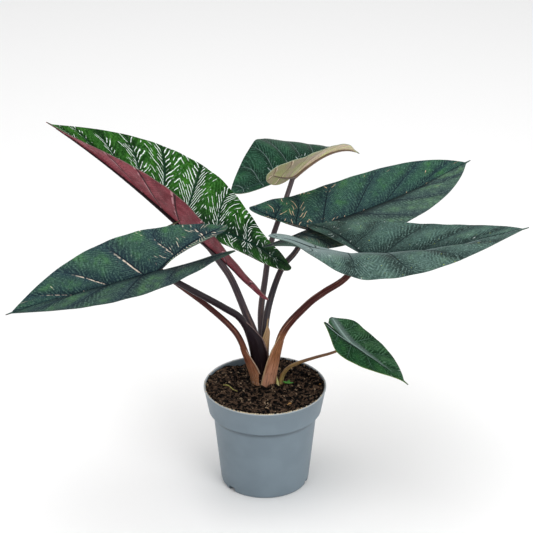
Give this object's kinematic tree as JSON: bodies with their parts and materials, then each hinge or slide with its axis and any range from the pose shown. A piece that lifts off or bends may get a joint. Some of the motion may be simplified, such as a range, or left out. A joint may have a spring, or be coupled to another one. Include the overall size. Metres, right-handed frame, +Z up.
{
  "type": "potted plant",
  "caption": "Alocasia houseplant with folded, arrow-shaped dark green leaves on sheathed purple stalks, rooted in soil in a round grey-blue nursery pot with a deep collar.",
  "frame": {"origin": "centre of the pot's flat base, on the surface it stands on", "axes": "+Z up; the plant faces -Y, the side the picture was taken from; +X to the right of that view"},
  "size_m": [0.4755, 0.3773, 0.3557],
  "materials": {
    "pot": "satin",
    "soil": "matte",
    "stem": "satin",
    "stalk": "satin",
    "side_stalk": "satin",
    "bract": "satin",
    "blade": "satin",
    "young_blade": "satin"
  },
  "bodies": {
    "root": {"pot": "pot", "soil": "soil", "stem_base": "stem", "side_bract": "bract", "leaf_1_blade": "blade", "leaf_1_stalk": "stalk", "leaf_2_blade": "young_blade", "leaf_2_stalk": "stalk", "leaf_3_blade": "blade", "leaf_3_stalk": "stalk", "leaf_4_blade": "blade", "leaf_4_stalk": "stalk", "leaf_5_blade": "blade", "leaf_5_stalk": "stalk", "leaf_6_blade": "blade", "leaf_6_stalk": "side_stalk", "leaf_7_blade": "blade", "leaf_7_stalk": "stalk"}
  },
  "joints": []
}
